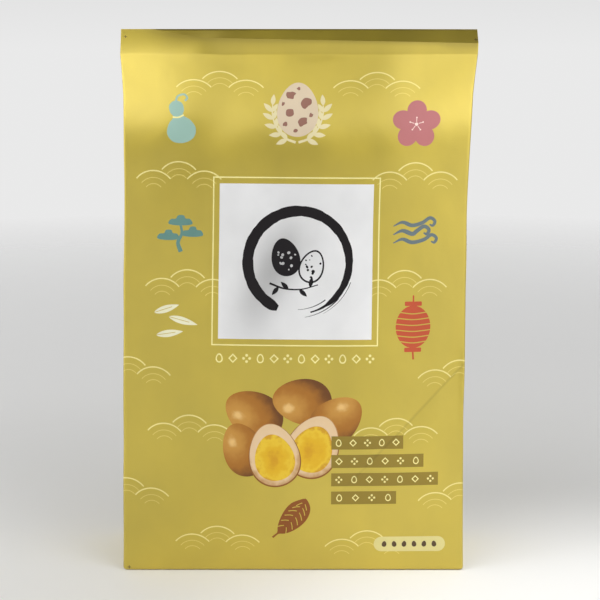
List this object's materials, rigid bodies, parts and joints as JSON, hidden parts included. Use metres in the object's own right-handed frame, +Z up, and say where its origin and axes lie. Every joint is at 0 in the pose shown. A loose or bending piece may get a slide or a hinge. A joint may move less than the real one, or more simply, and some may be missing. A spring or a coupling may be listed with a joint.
{
  "type": "sealed side-gusset food pouch",
  "caption": "Full side-gusset food pouch of satin gold film, standing on its flat base, with a heat-sealed header, tucked side gussets and a fin seam down the back.",
  "frame": {"origin": "middle of the box round the pouch, on the surface it stands on", "axes": "+Z up the pouch, -Y out of the printed front panel, +X to the right seen from the front"},
  "size_m": [0.155, 0.0576, 0.234],
  "materials": {
    "gold_film": "satin metallised film with a printed front"
  },
  "bodies": {
    "root": {"pouch": "gold_film"}
  },
  "joints": []
}
